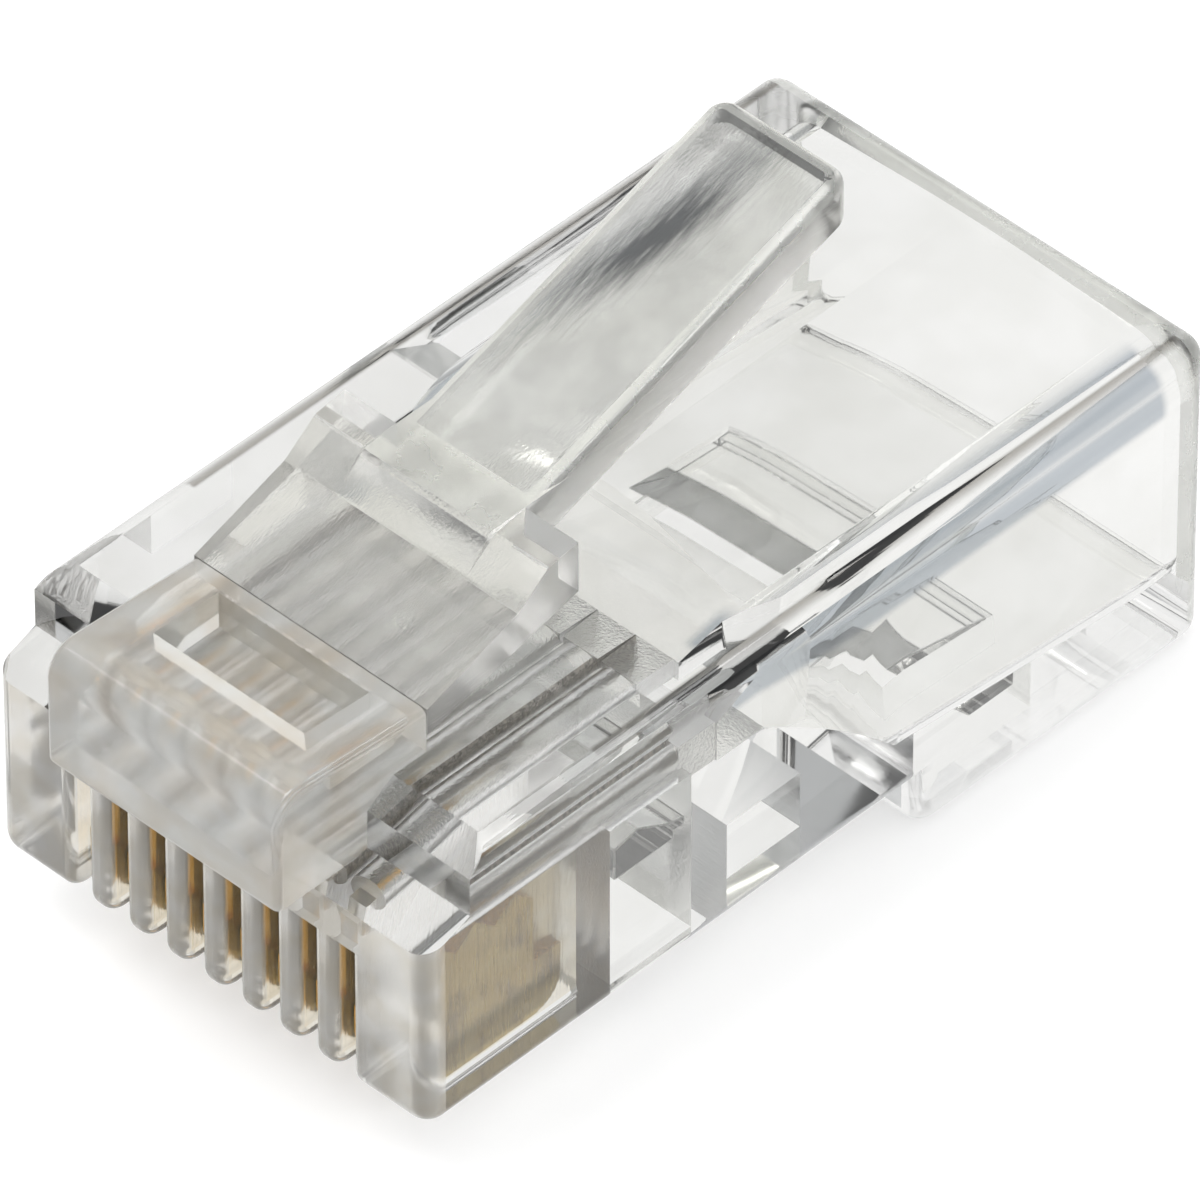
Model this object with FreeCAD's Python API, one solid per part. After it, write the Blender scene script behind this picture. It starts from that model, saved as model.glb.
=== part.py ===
import FreeCAD, Part
import math
import os

from FreeCAD import Vector

# Eight-way modular plug, millimetres.
# x = 0 is the middle of the width, y = 0 the front ends of the contact ribs,
# +y runs back to the cable entry, z = 0 is the underside of the rear collar,
# and the latch stands on the +z side.
# "Contact side" is the lower face of the part that enters the jack, and
# "latch side" is the upper face that the latch stands on.

# ---- outer body ----
plug_width = 11.68
body_length = 21.86
front_height = 6.45            # from the contact side to the latch side
collar_drop = 1.40             # the collar round the cable entry is this much deeper
collar_start = 13.70           # where the contact side steps down to the collar
edge_radius = 0.50
ledge_height = 4.60            # front corner ledges, above the contact side
ledge_rise = 0.44
ledge_depth = 1.18
crown_drop = 0.46              # lead-in on the latch side behind the ledges
crown_run = 0.72

# ---- conductor channels ----
contact_count = 8
contact_pitch = 1.02
channel_diameter = 0.92
channel_height = 4.15          # axis, above the contact side
channel_start = 0.85
channel_end = 7.60
divider_point = 8.90           # pointed ends of the dividers
divider_height = 0.98
divider_overlap = 0.30         # the cavity starts this much before the points

# ---- contacts and their slots ----
contact_thickness = 0.35
slot_clearance = 0.05
slot_length = 4.87
slot_below_channel = 0.55      # front opening of a slot, below the channel's axis
rib_round = 0.22
rib_root = 0.30                # a rib runs this far into the body behind and above it
contact_front = 0.50
contact_foot_length = 4.00
contact_foot_height = 1.40
contact_foot_radius = 0.70
contact_blade_setback = 0.10    # from the foot's front end to the blade
contact_heel = 0.74            # the foot's length behind the blade
contact_recess = 0.13          # below the rib ends before crimping
prong_count = 3
prong_height = 0.45
prong_gap = 0.06               # prong tips rest this far below the channels

# ---- cable cavity ----
side_wall = 0.99
roof_wall = 0.65
arch_rise = 0.45               # the roof is a shallow arch
arch_radius = 20.0             # at its crown
roof_corner = 0.70
cavity_floor = 2.20            # above the collar's underside, at the foot of the ramp
entry_floor = 1.55
floor_fall_end = 20.30         # the floor falls evenly to here
cavity_corner = 0.55
entry_flare = 0.45
fan_margin = 0.17              # beside the row of channels where the cavity starts
fan_side_start = 9.80
fan_bulge_depth = 0.16
roof_slope_end = 11.10
ramp_start = 9.90
ramp_end = 13.55               # the ramp and the widening of the sides end together
ramp_bulge_depth = 0.20

# ---- pockets in the contact side ----
clamp_window_start = 5.45
clamp_window_length = 2.25
clamp_window_margin = 0.67     # beside the row of channels
clamp_window_below_axis = 0.10
relief_start = 9.15
relief_length = 2.05
relief_half = 3.55
relief_top = 1.42              # above the contact side
jacket_window_setback = 0.85   # behind the collar's step
jacket_window_length = 3.35
jacket_window_half = 3.20

# ---- nose ----
nose_half = 3.12
nose_overhang = 1.24
nose_over_ledge = 0.24
nose_rise = 1.35               # rises are above the latch side
nose_round = 0.72
nose_edge = 0.18
nose_pocket_start = 0.62
nose_pocket_wall = 0.42
nose_pocket_half = 2.02
nose_pocket_depth = 1.15

# ---- latch ----
latch_root_y = 2.80            # the thin line where the arm starts to flex
latch_root_rise = 1.07
hinge_gap = 0.03
arm_root_thickness = 0.66
shoulder_start = 5.30
shoulder_start_rise = 1.90
shoulder_crest_y = 6.15
shoulder_crest_rise = 2.55
shoulder_back = 6.96
shoulder_top_rise = 2.65
shoulder_foot_rise = 1.39
ramp_foot_y = 5.29             # the middle ramp stands proud of the two shoulders
ramp_foot_rise = 1.86
ramp_crest_y = 6.00
ramp_crest_rise = 2.67
tab_half = 1.72
tab_start = 7.23
tab_tip = 16.00
tab_tip_rise = 5.58
tab_thickness = 1.16
tab_corner = 0.42
tab_edge = 0.30
tab_root = 0.60                # the tab runs this far into the arm

# ---- clamps ----
web_thickness = 0.20
web_length = 0.30
web_gap = 0.05
clamp_side_gap = 0.12
conductor_web_height = 2.80    # above the contact side
conductor_clamp_reach = 1.95   # from the web to the front face
conductor_clamp_low = 2.50     # above the contact side
conductor_clamp_top = 3.30
conductor_clamp_crest = 0.15
conductor_clamp_nose = 0.65
conductor_clamp_back = 0.45
jacket_clamp_reach = 3.02
jacket_clamp_low = 0.75        # above the collar's underside
jacket_clamp_slant = 1.45      # how far the sloping front face runs back
jacket_clamp_back = 0.50
jacket_clamp_top = 0.10        # above the foot of the ramp

overshoot = 1.0                # cutting tools run this far past the surface

half = plug_width / 2
fb = collar_drop                         # level of the contact side
rear_height = collar_drop + front_height
channel_z = fb + channel_height
row_half = (contact_count - 1) / 2 * contact_pitch + channel_diameter / 2
slot_width = contact_thickness + 2 * slot_clearance
slot_top = channel_z - slot_below_channel
cavity_half_width = half - side_wall
cavity_roof = rear_height - roof_wall
arch_spring = cavity_roof - arch_rise
floor_fall = (cavity_floor - entry_floor) / (floor_fall_end - ramp_end)
cavity_start = divider_point - divider_overlap
past_rear = body_length + overshoot
clamp_window_half = row_half + clamp_window_margin
clamp_window_end = clamp_window_start + clamp_window_length
jacket_window_start = collar_start + jacket_window_setback
jacket_window_end = jacket_window_start + jacket_window_length


def contact_x(i):
    return (i - (contact_count - 1) / 2) * contact_pitch


def outline(points, place):
    """Face inside a loop of (u, v) or (u, v, radius) points, the radius rounding that corner."""
    count = len(points)
    flat = [Vector(p[0], p[1], 0) for p in points]
    stops = []
    for i, point in enumerate(points):
        here = flat[i]
        if len(point) < 3:
            stops.append((here, None, here))
            continue
        back = (flat[i - 1] - here).normalize()
        ahead = (flat[(i + 1) % count] - here).normalize()
        half_angle = back.getAngle(ahead) / 2
        run = point[2] / math.tan(half_angle)
        middle = (back + ahead).normalize() * (point[2] / math.sin(half_angle) - point[2])
        stops.append((here + back * run, here + middle, here + ahead * run))
    edges = []
    for i, (start, middle, end) in enumerate(stops):
        if middle is not None:
            edges.append(Part.Arc(place(start), place(middle), place(end)).toShape())
        following = stops[(i + 1) % count][0]
        if (following - end).Length > 1e-6:
            edges.append(Part.makeLine(place(end), place(following)))
    return Part.Face(Part.Wire(edges))


def prism_x(points, x0, x1):
    """A side profile of (y, z) points, drawn out across the width."""
    face = outline(points, lambda p: Vector(x0, p.x, p.y))
    return face.extrude(Vector(x1 - x0, 0, 0))


def prism_z(points, z0, z1):
    """A plan of (x, y) points, drawn up."""
    face = outline(points, lambda p: Vector(p.x, p.y, z0))
    return face.extrude(Vector(0, 0, z1 - z0))


def block(x0, x1, y0, y1, z0, z1):
    return Part.makeBox(x1 - x0, y1 - y0, z1 - z0, Vector(x0, y0, z0))


def bulged(start, end, bulge):
    """An arc from start to end whose middle stands off the straight line by the vector bulge."""
    return Part.Arc(start, (start + end) / 2 + bulge, end).toShape()


def edges_where(shape, test):
    """Straight edges whose two ends satisfy the test."""
    found = []
    for edge in shape.Edges:
        ends = [v.Point for v in edge.Vertexes]
        if len(ends) == 2 and isinstance(edge.Curve, Part.Line) and test(*ends):
            found.append(edge)
    return found


def near(a, b):
    return abs(a - b) < 1e-4


def along(a, b, axis):
    """True where a to b runs along one axis only."""
    return all(near(getattr(a, n), getattr(b, n)) for n in "xyz" if n != axis)


def body_outline():
    top = rear_height
    ledge = fb + ledge_height
    return [(0, fb), (collar_start, fb), (collar_start, 0), (body_length, 0),
            (body_length, top), (ledge_depth + crown_run, top),
            (ledge_depth, top - crown_drop), (ledge_depth, ledge + ledge_rise), (0, ledge)]


def outer_body():
    body = prism_x(body_outline(), -half, half)

    def rounded(a, b):
        side = near(abs(a.x), half) and near(a.x, b.x)
        lengthwise = side and along(a, b, "y")
        upright = side and along(a, b, "z") and not near(a.y, ledge_depth)
        across = along(a, b, "x")
        ends = across and (near(a.y, body_length) or near(a.z, 0))
        toe = across and near(a.y, 0) and near(a.z, fb)
        return lengthwise or upright or ends or toe

    return body.makeFillet(edge_radius, edges_where(body, rounded))


def nose_block():
    """The solid root of the latch, standing proud of the front, with its open pocket."""
    low = fb + ledge_height + nose_over_ledge
    top = rear_height + nose_rise
    front = -nose_overhang
    inner = rear_height - edge_radius
    profile = [(front, low, nose_edge), (ledge_depth, low), (ledge_depth, inner),
               (latch_root_y, inner), (latch_root_y, rear_height + latch_root_rise),
               (front, top, nose_round)]
    nose = prism_x(profile, -nose_half, nose_half)

    def side(a, b):
        return near(abs(a.x), nose_half) and near(a.y, front) and near(b.y, front)

    nose = nose.makeFillet(nose_edge, edges_where(nose, side))
    pocket = block(-nose_pocket_half, nose_pocket_half, nose_pocket_start,
                   latch_root_y - nose_pocket_wall, top - nose_pocket_depth, top + overshoot)
    return nose.cut(pocket)


def conductor_channels():
    """Round bores whose mouths open out, which leaves the dividers with pointed ends."""
    radius = channel_diameter / 2
    cuts = []
    for i in range(contact_count):
        x = contact_x(i)
        cuts.append(Part.makeCylinder(radius, divider_point - channel_start,
                                      Vector(x, channel_start, channel_z), Vector(0, 1, 0)))
        mouth = [(x - radius, channel_end), (x + radius, channel_end),
                 (x + contact_pitch / 2, divider_point), (x - contact_pitch / 2, divider_point)]
        cuts.append(prism_z(mouth, channel_z - divider_height / 2, channel_z + divider_height / 2))
    return cuts


def arch_face(y, flare, low):
    """Section of the cavity at one place: flat floor, upright sides, shallow arched roof."""
    w = cavity_half_width + flare
    corner = roof_corner + flare
    spring = arch_spring + flare
    points = [(-w, low), (w, low), (w, spring, corner), (0, cavity_roof + flare, arch_radius),
              (-w, spring, corner)]
    return outline(points, lambda p: Vector(p.x, y, p.y))


def floor_at(y):
    """Height of the cavity's floor behind the ramp."""
    return cavity_floor - floor_fall * (y - ramp_end)


def cavity_side_profile():
    """Lengthwise section: ramp up from the floor to the channels, sloping roof."""
    low = channel_z - divider_height / 2
    ramp_top = Vector(0, ramp_start, low)
    ramp_foot = Vector(0, ramp_end, cavity_floor)
    fall = ramp_foot - ramp_top
    bulge = Vector(0, -fall.z, fall.y).normalize() * ramp_bulge_depth
    stops = [ramp_foot, Vector(0, floor_fall_end, entry_floor),
             Vector(0, past_rear, entry_floor), Vector(0, past_rear, cavity_roof),
             Vector(0, roof_slope_end, cavity_roof), Vector(0, cavity_start, low + divider_height),
             Vector(0, cavity_start, low), ramp_top]
    edges = [Part.makeLine(a, b) for a, b in zip(stops, stops[1:])]
    face = Part.Face(Part.Wire([bulged(ramp_top, ramp_foot, bulge)] + edges))
    face.translate(Vector(-half, 0, 0))
    return face.extrude(Vector(plug_width, 0, 0))


def cavity_plan():
    """Plan: narrow at the conductors, widening in a curve to the full width."""
    narrow = row_half + fan_margin
    wide = cavity_half_width
    sides = []
    for side in (1, -1):
        start = Vector(side * narrow, cavity_start, 0)
        widen = Vector(side * narrow, fan_side_start, 0)
        full = Vector(side * wide, ramp_end, 0)
        rear = Vector(side * wide, past_rear, 0)
        sides.append([Part.makeLine(start, widen), bulged(widen, full, Vector(side * fan_bulge_depth, 0, 0)),
                      Part.makeLine(full, rear)])
    ends = [Part.makeLine(Vector(-wide, past_rear, 0), Vector(wide, past_rear, 0)),
            Part.makeLine(Vector(-narrow, cavity_start, 0), Vector(narrow, cavity_start, 0))]
    face = Part.Face(Part.Wire(Part.__sortEdges__(sides[0] + sides[1] + ends)))
    return face.extrude(Vector(0, 0, rear_height + overshoot))


def cable_cavity():
    """The space for the cable, open at the rear, with rounded floor corners."""
    section = arch_face(0, 0, 0).extrude(Vector(0, past_rear + overshoot, 0))
    space = section.common(cavity_side_profile()).common(cavity_plan()).removeSplitter()

    def floor_corner(a, b):
        at_side = near(abs(a.x), cavity_half_width) and near(a.x, b.x)
        return at_side and not near(a.y, b.y) and max(a.z, b.z) < cavity_floor + cavity_corner

    return space.makeFillet(cavity_corner, edges_where(space, floor_corner))


def entry_bevel():
    """The bell mouth round the cable entry."""
    inner = arch_face(body_length - entry_flare, 0, entry_floor).OuterWire
    outer = arch_face(body_length, entry_flare, entry_floor - entry_flare).OuterWire
    return Part.makeLoft([inner, outer], True, True)


def rib():
    """One rib between two slots, centred on x = 0, with its front and lower edges rounded."""
    w = (contact_pitch - slot_width) / 2
    back = slot_length + rib_root
    top = slot_top + rib_root
    solid = prism_x([(0, fb, edge_radius), (back, fb), (back, top), (0, top)], -w, w)
    rims = []
    for edge in solid.Edges:
        box = edge.BoundBox
        if box.XLength < 1e-4 and (near(box.YMin, 0) or near(box.ZMin, fb)):
            rims.append(edge)
    return solid.makeFillet(rib_round, rims)


def slotted_front(body):
    """One wide recess for the contacts, divided into slots by the ribs."""
    w = contact_count / 2 * contact_pitch
    body = body.cut(block(-w, w, -overshoot, slot_length, fb - overshoot, slot_top))
    ribs = []
    for i in range(contact_count + 1):
        one = rib()
        one.translate(Vector(contact_x(i) - contact_pitch / 2, 0, 0))
        ribs.append(one)
    return body.fuse(ribs)


def blade_slits():
    """Behind the front wall each slot reaches up to the axis of its channel."""
    start = contact_front + contact_blade_setback - slot_clearance
    return [block(contact_x(i) - slot_width / 2, contact_x(i) + slot_width / 2, start, slot_length,
                  slot_top - slot_clearance, channel_z) for i in range(contact_count)]


def lower_pockets():
    """Windows for the two clamps, and a blind pocket between them."""
    return [block(-clamp_window_half, clamp_window_half, clamp_window_start, clamp_window_end,
                  fb - overshoot, channel_z - clamp_window_below_axis),
            block(-relief_half, relief_half, relief_start, relief_start + relief_length,
                  fb - overshoot, fb + relief_top),
            block(-jacket_window_half, jacket_window_half, jacket_window_start, jacket_window_end,
                  -overshoot, cavity_floor + cavity_corner)]


def housing():
    body = slotted_front(outer_body().fuse(nose_block()))
    tools = conductor_channels() + blade_slits() + lower_pockets() + [cable_cavity(), entry_bevel()]
    return body.cut(tools).removeSplitter()


def latch_arm():
    """The flat arm behind the nose, widening in thickness to the two locking shoulders."""
    top = rear_height
    root = latch_root_y + hinge_gap
    profile = [(root, top + latch_root_rise - arm_root_thickness),
               (shoulder_back, top + shoulder_foot_rise), (shoulder_back, top + shoulder_top_rise),
               (shoulder_crest_y, top + shoulder_crest_rise), (shoulder_start, top + shoulder_start_rise),
               (root, top + latch_root_rise)]
    return prism_x(profile, -nose_half, nose_half)


def thumb_tab():
    """The middle ramp and the thumb tab that it leads to, rounded at the tip and upper rim."""
    top = rear_height
    start = Vector(0, tab_start, top + ramp_crest_rise)
    tip = Vector(0, tab_tip, top + tab_tip_rise)
    foot = top + shoulder_foot_rise
    profile = [(shoulder_back - tab_root, foot), (shoulder_back, foot),
               (tip.y, tip.z - tab_thickness), (tip.y, tip.z), (start.y, start.z),
               (ramp_crest_y, top + ramp_crest_rise), (ramp_foot_y, top + ramp_foot_rise)]
    tab = prism_x(profile, -tab_half, tab_half)
    tab = tab.makeFillet(tab_corner, edges_where(tab, lambda a, b: along(a, b, "z") and near(a.y, tab_tip)))
    slope = (tip.z - start.z) / (tip.y - start.y)

    def on_top(point):
        return near(start.z + slope * (point.y - start.y), point.z)

    rim = []
    for edge in tab.Edges:
        across_start = near(edge.BoundBox.YMin, tab_start) and near(edge.BoundBox.YMax, tab_start)
        if all(on_top(v.Point) for v in edge.Vertexes) and not across_start:
            rim.append(edge)
    return tab.makeFillet(tab_edge, rim)


def latch():
    return latch_arm().fuse(thumb_tab()).removeSplitter()


def contact():
    """One insulation-piercing contact blade: foot, blade and prongs."""
    z0 = fb + contact_recess
    y0 = contact_front
    y1 = y0 + contact_foot_length
    blade_front = y0 + contact_blade_setback
    blade_back = y1 - contact_heel
    prong_tip = channel_z - channel_diameter / 2 - prong_gap
    blade_top = prong_tip - prong_height
    foot_top = z0 + contact_foot_height
    prong_pitch = (blade_back - blade_front) / prong_count
    points = [(y0, z0), (y1, z0), (y1, foot_top), (blade_back, foot_top), (blade_back, blade_top)]
    for k in range(prong_count):
        back = blade_back - k * prong_pitch
        points.append((back - prong_pitch / 2, prong_tip))
        points.append((back - prong_pitch, blade_top))
    points += [(blade_front, foot_top), (y0, foot_top)]
    blade = prism_x(points, -contact_thickness / 2, contact_thickness / 2)
    heels = edges_where(blade, lambda a, b: along(a, b, "x") and near(a.z, z0))
    return blade.makeFillet(contact_foot_radius, heels)


def conductor_clamp():
    """The bar that is pressed onto the conductors, hinged at its rear edge."""
    hinge_y = clamp_window_end - web_gap
    hinge_z = fb + conductor_web_height
    front = hinge_y - conductor_clamp_reach
    low = fb + conductor_clamp_low
    top = fb + conductor_clamp_top
    heel = hinge_y - web_length
    points = [(front, low), (heel, low), (heel, hinge_z - web_thickness / 2),
              (hinge_y, hinge_z - web_thickness / 2), (hinge_y, hinge_z + web_thickness / 2),
              (hinge_y - conductor_clamp_back, hinge_z + web_thickness),
              (front + conductor_clamp_nose, top + conductor_clamp_crest), (front, top)]
    x = clamp_window_half - clamp_side_gap
    return prism_x(points, -x, x)


def jacket_clamp():
    """The bar that is pressed onto the cable's jacket, hinged at its rear edge."""
    hinge_y = jacket_window_end - web_gap
    hinge_z = floor_at(hinge_y) - web_thickness
    front = hinge_y - jacket_clamp_reach
    heel = hinge_y - web_length
    points = [(front + jacket_clamp_slant, jacket_clamp_low), (heel, jacket_clamp_low),
              (heel, hinge_z - web_thickness / 2), (hinge_y, hinge_z - web_thickness / 2),
              (hinge_y, hinge_z + web_thickness / 2), (hinge_y - jacket_clamp_back, floor_at(hinge_y)),
              (front, cavity_floor + jacket_clamp_top)]
    x = jacket_window_half - clamp_side_gap
    return prism_x(points, -x, x)


def main():
    os.makedirs("parts", exist_ok=True)
    pieces = {"housing": housing(), "latch": latch(), "conductor_clamp": conductor_clamp(),
              "jacket_clamp": jacket_clamp()}
    for i in range(contact_count):
        blade = contact()
        blade.translate(Vector(contact_x(i), 0, 0))
        pieces["contact_%d" % (i + 1)] = blade
    for name, shape in pieces.items():
        if not shape.isValid():
            print("invalid:", name)
        print(name, len(shape.Solids), "solids", round(shape.Volume, 3), "mm3")
        shape.exportStep("parts/%s.step" % name)


main()
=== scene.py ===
"""Eight-way modular plug in clear polycarbonate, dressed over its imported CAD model."""
import logging
import math
from dataclasses import dataclass, field
from enum import Enum
from typing import Any

import bmesh
import bpy
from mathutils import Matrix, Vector


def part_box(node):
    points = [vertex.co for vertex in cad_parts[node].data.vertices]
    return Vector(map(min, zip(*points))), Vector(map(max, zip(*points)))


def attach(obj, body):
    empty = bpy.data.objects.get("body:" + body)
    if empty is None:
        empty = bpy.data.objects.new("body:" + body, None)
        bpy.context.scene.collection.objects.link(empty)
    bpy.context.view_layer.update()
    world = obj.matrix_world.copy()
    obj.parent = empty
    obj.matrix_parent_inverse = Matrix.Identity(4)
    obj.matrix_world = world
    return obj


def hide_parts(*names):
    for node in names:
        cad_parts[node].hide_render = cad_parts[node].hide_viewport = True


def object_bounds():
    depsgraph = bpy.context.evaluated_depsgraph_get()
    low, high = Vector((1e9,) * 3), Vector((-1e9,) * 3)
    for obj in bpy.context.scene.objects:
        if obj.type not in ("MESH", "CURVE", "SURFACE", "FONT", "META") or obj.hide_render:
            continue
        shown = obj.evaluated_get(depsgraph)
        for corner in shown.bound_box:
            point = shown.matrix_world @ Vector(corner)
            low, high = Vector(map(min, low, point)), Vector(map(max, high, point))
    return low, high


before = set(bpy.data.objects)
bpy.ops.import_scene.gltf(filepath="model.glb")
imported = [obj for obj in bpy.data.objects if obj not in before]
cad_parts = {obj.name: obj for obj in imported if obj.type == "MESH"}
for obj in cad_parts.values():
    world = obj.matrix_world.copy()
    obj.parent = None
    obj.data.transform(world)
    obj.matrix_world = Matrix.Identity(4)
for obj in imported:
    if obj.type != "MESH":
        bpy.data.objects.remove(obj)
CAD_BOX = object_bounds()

MM = 0.001
LOG = logging.getLogger("modular_plug")

# where Mix nodes keep their colour sockets, and Map Range nodes their vector sockets
COLOUR_A, COLOUR_B, MIXED = 6, 7, 2
VECTOR, FROM_LOW, FROM_HIGH, TO_LOW, TO_HIGH = range(6, 11)
RANGED = 1

# how far a face's unit normal reaches along an axis
BARELY = 0.1
PARTLY = 0.3
MOSTLY = 0.7
NEARLY = 0.9
SQUARELY = 0.99


def linear(hex_colour: str, alpha: float = 1.0) -> tuple[float, float, float, float]:
    """Turn an sRGB hex colour into linear light.

    Args:
        hex_colour: Six hex digits after a hash.
        alpha: Opacity to append.

    Returns:
        Linear red, green, blue and alpha.
    """
    values = [int(hex_colour[i:i + 2], 16) / 255 for i in (1, 3, 5)]
    red, green, blue = (v / 12.92 if v <= 0.04045 else ((v + 0.055) / 1.055) ** 2.4 for v in values)
    return red, green, blue, alpha


def add_node(tree: bpy.types.NodeTree, kind: str, settings: dict[str, Any] | None = None,
             inputs: dict[Any, Any] | None = None) -> bpy.types.Node:
    """Add a node with its settings, and set or link its inputs.

    Args:
        tree: The shader or geometry tree.
        kind: Blender's name for the node type.
        settings: Attributes to set before the inputs.
        inputs: Values or output sockets by input name or index.

    Returns:
        The new node.
    """
    node = tree.nodes.new(kind)
    for name, value in (settings or {}).items():
        setattr(node, name, value)
    for key, value in (inputs or {}).items():
        if isinstance(value, bpy.types.NodeSocket):
            tree.links.new(value, node.inputs[key])
        else:
            node.inputs[key].default_value = value
    return node


class Region(Enum):
    """Where a face of a clear moulding lies, which decides its finish."""

    POLISHED = 0      # outer walls and the cable cavity
    SATIN = 1         # nose
    MILKY = 2         # ribs and the front round them
    LINED = 3         # walls of the contact slots
    ERODED = 4        # conductor channels
    GROUND_PAINTED_SHADE = 5        # cross walls of the pockets, and the clamps' long faces
    RIM = 6           # rounded edge of the cable entry, and the tab's rounds
    DRAWN = 7         # latch arm, and the tab's sides and underside
    PAINTED_REFLECTION = 8        # upper face of the tab
    WEB_PAINTED_SHADE = 9           # thin webs between the outermost channels
    COARSE_PAINTED_SHADE = 10       # sides of the shoulders
    GLINT = 11        # the small rounds on sharp edges


@dataclass(frozen=True)
class RingMark:
    """The faint oval that an ejector pin or a gate leaves on a moulded face."""

    x_mm: float
    z_mm: float
    half_width_mm: float
    half_height_mm: float
    line_share: float = 0.06      # half the line's width, as a share of the oval's half width
    raised_mm: float = 0.02

    def height(self, tree: bpy.types.NodeTree, across: bpy.types.NodeSocket,
               up: bpy.types.NodeSocket) -> bpy.types.NodeSocket:
        """Draw the ring's raised line.

        Args:
            tree: The material's tree.
            across: Object x.
            up: Object z.

        Returns:
            1 on the ring's line and 0 beside it.
        """
        def away(value: bpy.types.NodeSocket, middle_mm: float,
                 half_mm: float) -> bpy.types.NodeSocket:
            """Measure from the middle in half widths."""
            return add_node(tree, "ShaderNodeMapRange", {"clamp": False}, {
                "Value": value, "From Min": middle_mm * MM,
                "From Max": (middle_mm + half_mm) * MM}).outputs[0]

        flat = add_node(tree, "ShaderNodeCombineXYZ", inputs={
            0: away(across, self.x_mm, self.half_width_mm),
            1: away(up, self.z_mm, self.half_height_mm)})
        far = add_node(tree, "ShaderNodeVectorMath", {"operation": "LENGTH"}, {0: flat.outputs[0]})
        return add_node(tree, "ShaderNodeMath", {"operation": "COMPARE"}, {
            0: far.outputs["Value"], 1: 1.0, 2: self.line_share}).outputs[0]


@dataclass(frozen=True)
class PaintedReflectionStreak:
    """A painted reflection: a dark smoky band painted along the tab, its edges broken by brushed
    hairlines.
    """

    start: tuple[float, float] = (0.35, 16.3)     # x and y in mm
    end: tuple[float, float] = (-1.20, 9.4)
    half_width_mm: float = 0.80
    colour: str = "#2C2E31"
    hair_mm: float = 0.09                         # width of one brushed hairline
    hair_shape: tuple[float, float, float] = (1.0, 0.10, 0.10)     # ten times as long as wide
    ragged: float = 0.9                           # how much the hairlines break up its limits
    fade: tuple[float, float] = (0.60, 1.60)      # where it begins and ends to fade, in half widths

    def mask(self, tree: bpy.types.NodeTree, place: bpy.types.NodeSocket) -> bpy.types.NodeSocket:
        """Measure how deep a point lies in the streak.

        Args:
            tree: The material's tree.
            place: Object coordinates.

        Returns:
            1 in the middle of the streak and 0 outside, with brushed edges.
        """
        run_x, run_y = self.end[0] - self.start[0], self.end[1] - self.start[1]
        middle = ((self.start[0] + self.end[0]) / 2 * MM, (self.start[1] + self.end[1]) / 2 * MM, 0.0)
        half_width, half_length = self.half_width_mm * MM, math.hypot(run_x, run_y) / 2 * MM
        turned = add_node(tree, "ShaderNodeMapping", {"vector_type": "TEXTURE"}, {
            "Vector": place, "Location": middle, "Rotation": (0.0, 0.0, math.atan2(run_x, -run_y)),
            "Scale": (half_width, half_length, 1.0)})
        flat = add_node(tree, "ShaderNodeVectorMath", {"operation": "MULTIPLY"}, {
            0: turned.outputs["Vector"], 1: (1.0, 1.0, 0.0)})
        far = add_node(tree, "ShaderNodeVectorMath", {"operation": "LENGTH"}, {0: flat.outputs[0]})
        comb = add_node(tree, "ShaderNodeMapping", inputs={"Vector": place, "Scale": self.hair_shape})
        hairs = add_node(tree, "ShaderNodeTexNoise", inputs={
            "Vector": comb.outputs["Vector"], "Scale": 1 / (self.hair_mm * MM), "Detail": 4.0})
        ragged = add_node(tree, "ShaderNodeMath", {"operation": "MULTIPLY_ADD"}, {
            0: hairs.outputs["Fac"], 1: self.ragged, 2: far.outputs["Value"]})
        return add_node(tree, "ShaderNodeMapRange", {"interpolation_type": "SMOOTHSTEP"}, {
            "Value": ragged.outputs[0], "From Min": self.fade[0], "From Max": self.fade[1],
            "To Min": 1.0, "To Max": 0.0}).outputs[0]


@dataclass(frozen=True)
class PaintedReflectionBand:
    """A stretch of wall with a painted reflection: a fixed greyer or browner tint where the clear plastic
    mirrors its surroundings.
    """

    low_mm: tuple[float, float, float]     # x is measured to either side of the middle
    high_mm: tuple[float, float, float]
    colour: str
    soft_mm: float = 0.06                  # half the width of its soft limits

    def mask(self, tree: bpy.types.NodeTree, place: bpy.types.NodeSocket) -> bpy.types.NodeSocket:
        """Mark the inside of the box between the two corners.

        Args:
            tree: The material's tree.
            place: Object coordinates.

        Returns:
            1 inside and 0 outside, with soft limits.
        """
        either = add_node(tree, "ShaderNodeVectorMath", {"operation": "ABSOLUTE"}, {0: place}).outputs[0]
        sides = []
        for corner, before, after in ((self.low_mm, 0.0, 1.0), (self.high_mm, 1.0, 0.0)):
            ends = [tuple((c + d * self.soft_mm) * MM for c in corner) for d in (-1, 1)]
            ramp = add_node(tree, "ShaderNodeMapRange", {
                "data_type": "FLOAT_VECTOR", "interpolation_type": "SMOOTHSTEP"}, {
                VECTOR: either, FROM_LOW: ends[0], FROM_HIGH: ends[1],
                TO_LOW: (before,) * 3, TO_HIGH: (after,) * 3})
            sides.append(ramp.outputs[RANGED])
        inside = add_node(tree, "ShaderNodeVectorMath", {"operation": "MULTIPLY"}, {
            0: sides[0], 1: sides[1]})
        axes = add_node(tree, "ShaderNodeSeparateXYZ", inputs={0: inside.outputs[0]}).outputs
        flat = add_node(tree, "ShaderNodeMath", {"operation": "MULTIPLY"}, {0: axes["X"], 1: axes["Y"]})
        return add_node(tree, "ShaderNodeMath", {"operation": "MULTIPLY"}, {
            0: flat.outputs[0], 1: axes["Z"]}).outputs[0]


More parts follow.
